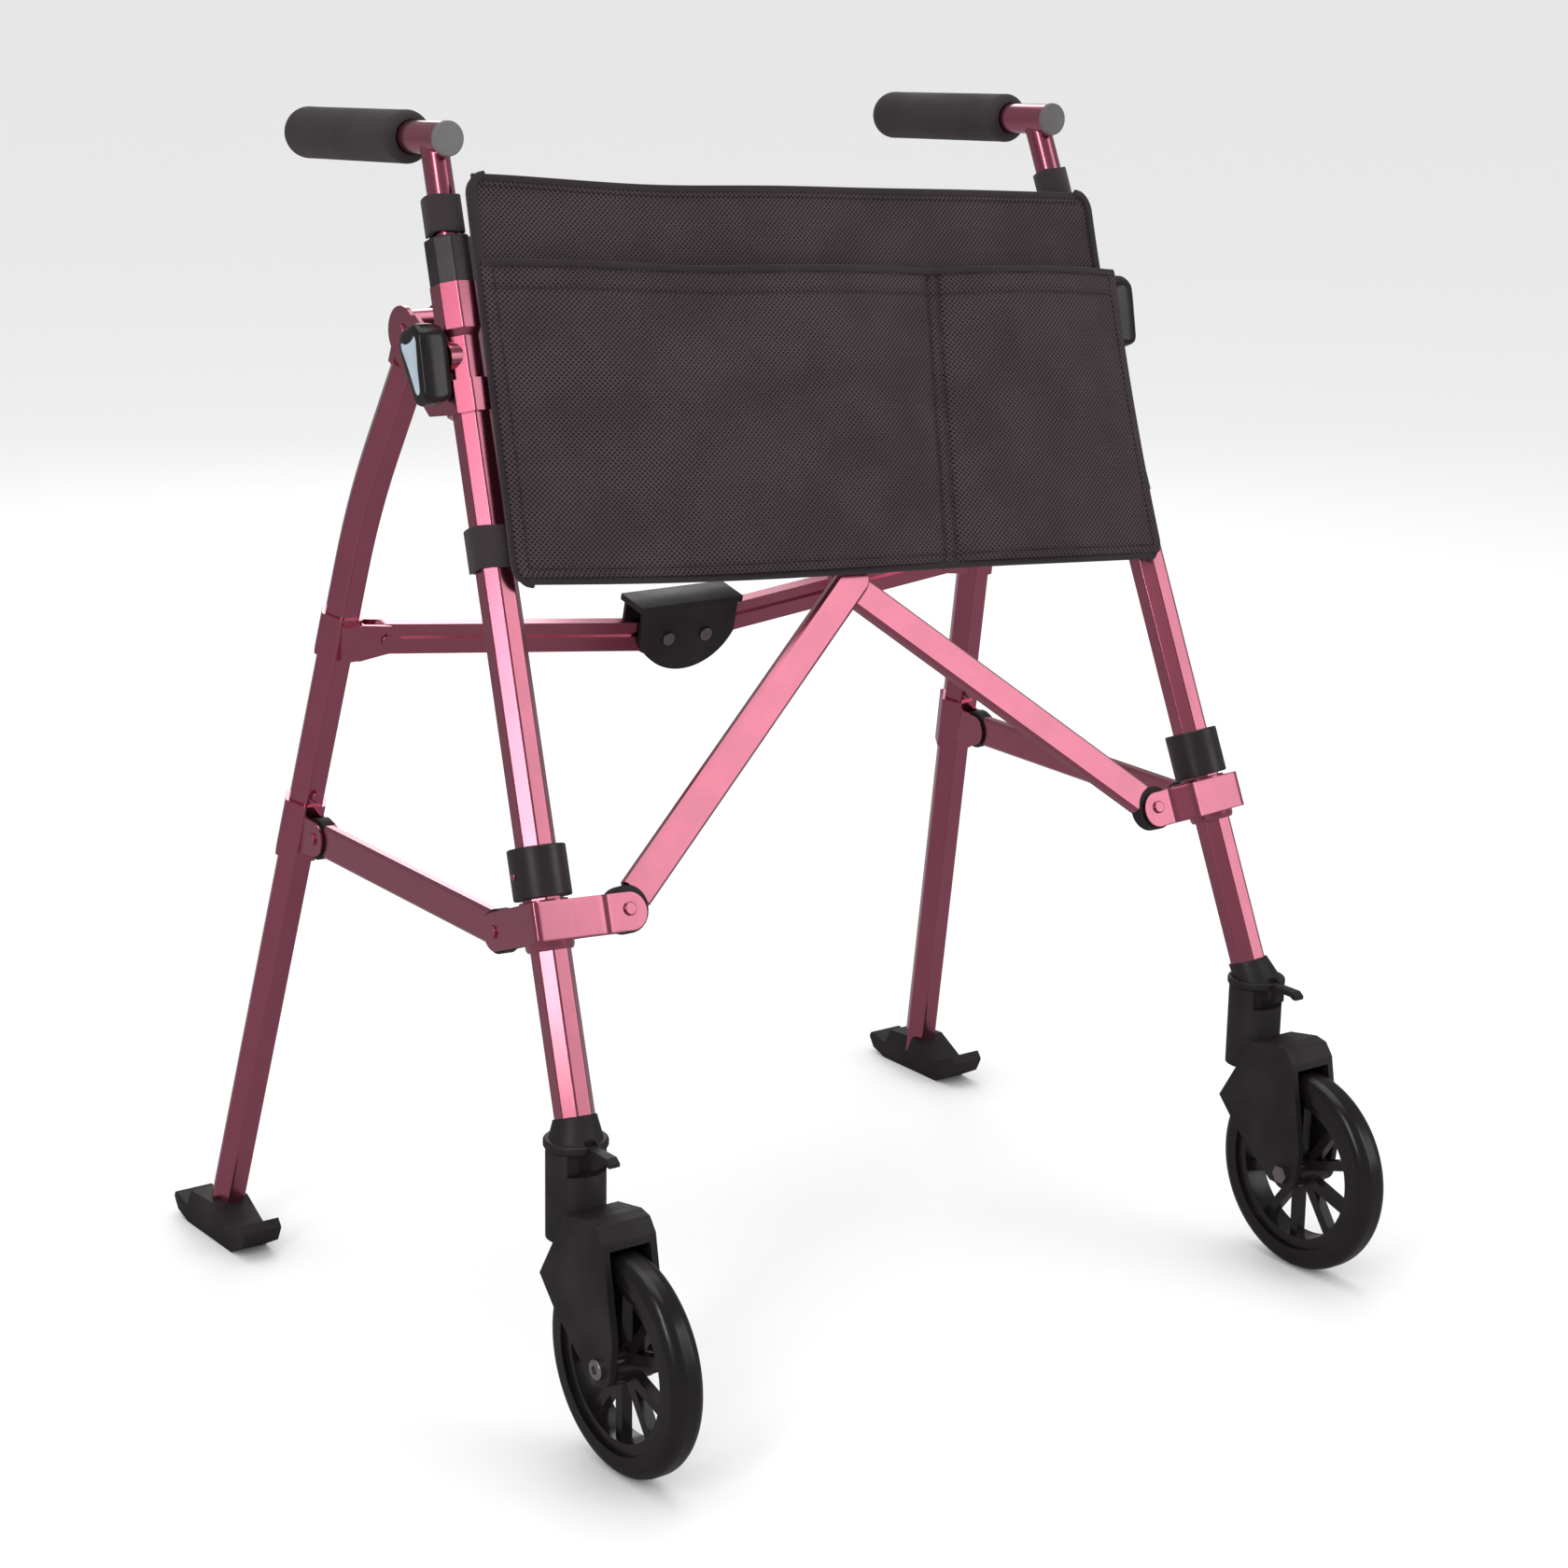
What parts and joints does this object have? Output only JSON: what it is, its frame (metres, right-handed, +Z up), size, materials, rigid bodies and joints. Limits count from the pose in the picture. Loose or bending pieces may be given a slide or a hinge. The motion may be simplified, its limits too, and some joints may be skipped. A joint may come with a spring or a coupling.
{
  "type": "walking frame",
  "caption": "Folding walking frame with front castors, rear glide feet, height-adjustable handles and a mesh bag between the front legs.",
  "frame": {"origin": "on the floor under the middle of the frame", "axes": "+X to the picture's right across the frame, -Y the castor side, +Y the user's side, +Z up"},
  "size_m": [0.705, 0.6318, 0.8465],
  "materials": {
    "rose_aluminium": "rose anodised, satin",
    "black_plastic": "fine moulded texture",
    "gloss_plastic": "smooth moulded",
    "grey_plastic": "smooth moulded",
    "foam": "closed-cell foam, matt",
    "tyre_rubber": "smooth solid tread",
    "steel": "zinc plated",
    "webbing": "woven hook-and-loop strap",
    "mesh_fabric": "spacer mesh with bound edges"
  },
  "bodies": {
    "left_frame": {"left_front_leg": "rose_aluminium", "left_guide_bushing": "black_plastic", "left_top_bracket": "rose_aluminium", "left_leg_collar": "gloss_plastic", "left_castor_head": "black_plastic", "left_bag_straps": "webbing", "left_leg_rivets": "rose_aluminium", "bag": "mesh_fabric"},
    "left_slider": {"left_sliding_bracket": "rose_aluminium", "left_bracket_rivets": "rose_aluminium"},
    "left_brace": {"left_brace_bar": "rose_aluminium", "left_brace_end": "black_plastic", "apex_pin": "steel"},
    "right_brace": {"right_brace_bar": "rose_aluminium", "right_brace_end": "black_plastic"},
    "right_slider": {"right_sliding_bracket": "rose_aluminium", "right_bracket_rivets": "rose_aluminium"},
    "right_frame": {"right_front_leg": "rose_aluminium", "right_guide_bushing": "black_plastic", "right_top_bracket": "rose_aluminium", "right_leg_collar": "gloss_plastic", "right_castor_head": "black_plastic", "right_bag_straps": "webbing", "right_leg_rivets": "rose_aluminium"},
    "left_rear": {"left_rear_leg": "rose_aluminium", "left_glide_foot": "black_plastic", "left_rear_bracket": "rose_aluminium", "left_cross_clamp": "rose_aluminium", "left_rear_rivets": "rose_aluminium"},
    "left_side_link": {"left_side_bar": "rose_aluminium", "left_side_bar_ends": "black_plastic"},
    "left_cross": {"left_cross_half": "rose_aluminium"},
    "left_handle": {"left_handle": "rose_aluminium", "left_grip": "foam", "left_grip_cap": "grey_plastic"},
    "left_knob": {"left_height_knob": "gloss_plastic"},
    "left_fork": {"left_castor_fork": "black_plastic", "left_axle_bolt": "steel"},
    "left_wheel": {"left_tyre": "tyre_rubber", "left_wheel_rim": "gloss_plastic"},
    "left_lock": {"left_lock_lever": "black_plastic"},
    "right_rear": {"right_rear_leg": "rose_aluminium", "right_glide_foot": "black_plastic", "right_rear_bracket": "rose_aluminium", "right_cross_clamp": "rose_aluminium", "right_rear_rivets": "rose_aluminium"},
    "right_side_link": {"right_side_bar": "rose_aluminium", "right_side_bar_ends": "black_plastic"},
    "right_cross": {"right_cross_half": "rose_aluminium"},
    "right_handle": {"right_handle": "rose_aluminium", "right_grip": "foam", "right_grip_cap": "grey_plastic"},
    "right_knob": {"right_height_knob": "gloss_plastic"},
    "right_fork": {"right_castor_fork": "black_plastic", "right_axle_bolt": "steel"},
    "right_wheel": {"right_tyre": "tyre_rubber", "right_wheel_rim": "gloss_plastic"},
    "right_lock": {"right_lock_lever": "black_plastic"},
    "hub": {"latch_hub": "black_plastic", "hub_rivets": "steel"}
  },
  "joints": [
    {"name": "left_slide", "type": "slide", "parent": "left_frame", "child": "left_slider", "axis": [-0.059, -0.3603, -0.931], "range_m": [0, 0.1]},
    {"name": "fold", "type": "hinge", "parent": "left_slider", "child": "left_brace", "pos_m": [-0.238, -0.128, 0.33898], "axis": [0, -0.9326, 0.3609], "range_deg": [0, 36]},
    {"name": "apex_turn", "type": "hinge", "parent": "left_brace", "child": "right_brace", "pos_m": [0, -0.05681, 0.52298], "axis": [0, -0.9326, 0.3609], "range_deg": [-72.5, 0]},
    {"name": "right_brace_turn", "type": "hinge", "parent": "right_brace", "child": "right_slider", "pos_m": [0.238, -0.128, 0.33898], "axis": [0, -0.9326, 0.3609], "range_deg": [0, 36.5]},
    {"name": "right_slide", "type": "slide", "parent": "right_slider", "child": "right_frame", "axis": [-0.059, 0.3603, 0.931], "range_m": [0, 0.1]},
    {"name": "left_rear_swing", "type": "hinge", "parent": "left_frame", "child": "left_rear", "pos_m": [-0.269, 0.066, 0.702], "axis": [-1, 0, 0], "range_deg": [0, 8]},
    {"name": "left_side_turn", "type": "hinge", "parent": "left_rear", "child": "left_side_link", "pos_m": [-0.30391, 0.156, 0.331], "axis": [0.9988, 0, -0.0499], "range_deg": [0, 28]},
    {"name": "right_rear_swing", "type": "hinge", "parent": "right_frame", "child": "right_rear", "pos_m": [0.269, 0.066, 0.702], "axis": [-1, 0, 0], "range_deg": [0, 8]},
    {"name": "right_side_turn", "type": "hinge", "parent": "right_rear", "child": "right_side_link", "pos_m": [0.30391, 0.156, 0.331], "axis": [0.9988, 0, 0.0499], "range_deg": [0, 28]},
    {"name": "left_cross_turn", "type": "hinge", "parent": "left_rear", "child": "left_cross", "pos_m": [-0.261, 0.153, 0.48], "axis": [0, -0.9732, -0.2301], "range_deg": [0, 79]},
    {"name": "hub_turn", "type": "hinge", "parent": "left_cross", "child": "hub", "pos_m": [-0.017, 0.1596, 0.452], "axis": [0, -0.9732, -0.2301], "range_deg": [-79, 0]},
    {"name": "right_cross_turn", "type": "hinge", "parent": "right_rear", "child": "right_cross", "pos_m": [0.261, 0.153, 0.48], "axis": [0, -0.9732, -0.2301], "range_deg": [-79, 0]},
    {"name": "left_handle_slide", "type": "slide", "parent": "left_frame", "child": "left_handle", "axis": [0.059, 0.3603, 0.931], "range_m": [0, 0.15]},
    {"name": "left_knob_turn", "type": "hinge", "parent": "left_frame", "child": "left_knob", "pos_m": [-0.26976, 0.00857, 0.69194], "axis": [-1, 0, 0], "continuous": true},
    {"name": "left_swivel", "type": "hinge", "parent": "left_frame", "child": "left_fork", "pos_m": [-0.303, -0.18, 0.18], "axis": [0, 0, 1], "range_deg": [-45, 45]},
    {"name": "left_wheel_spin", "type": "hinge", "parent": "left_fork", "child": "left_wheel", "pos_m": [-0.303, -0.24, 0.0762], "axis": [1, 0, 0], "continuous": true},
    {"name": "left_lock_lift", "type": "slide", "parent": "left_frame", "child": "left_lock", "axis": [0, 0, 1], "range_m": [0, 0.004], "stiffness_N_per_m": 400, "springref_m": -0.001},
    {"name": "right_handle_slide", "type": "slide", "parent": "right_frame", "child": "right_handle", "axis": [-0.059, 0.3603, 0.931], "range_m": [0, 0.15]},
    {"name": "right_knob_turn", "type": "hinge", "parent": "right_frame", "child": "right_knob", "pos_m": [0.26976, 0.00857, 0.69194], "axis": [1, 0, 0], "continuous": true},
    {"name": "right_swivel", "type": "hinge", "parent": "right_frame", "child": "right_fork", "pos_m": [0.303, -0.18, 0.18], "axis": [0, 0, 1], "range_deg": [-45, 45]},
    {"name": "right_wheel_spin", "type": "hinge", "parent": "right_fork", "child": "right_wheel", "pos_m": [0.303, -0.24, 0.0762], "axis": [1, 0, 0], "continuous": true},
    {"name": "right_lock_lift", "type": "slide", "parent": "right_frame", "child": "right_lock", "axis": [0, 0, 1], "range_m": [0, 0.004], "stiffness_N_per_m": 400, "springref_m": -0.001}
  ],
  "couplings": [
    {"joint": "left_slide", "follows": "fold", "m_per_rad": 0.15756},
    {"joint": "apex_turn", "follows": "fold", "ratio": -2},
    {"joint": "right_brace_turn", "follows": "fold", "ratio": 1},
    {"joint": "right_slide", "follows": "fold", "m_per_rad": 0.15756},
    {"joint": "left_rear_swing", "follows": "fold", "ratio": 0.2175},
    {"joint": "right_rear_swing", "follows": "fold", "ratio": 0.2175},
    {"joint": "left_side_turn", "follows": "fold", "ratio": 0.7644},
    {"joint": "right_side_turn", "follows": "fold", "ratio": 0.7644},
    {"joint": "left_cross_turn", "follows": "fold", "ratio": 2.182},
    {"joint": "hub_turn", "follows": "fold", "ratio": -2.182},
    {"joint": "right_cross_turn", "follows": "fold", "ratio": -2.182}
  ]
}
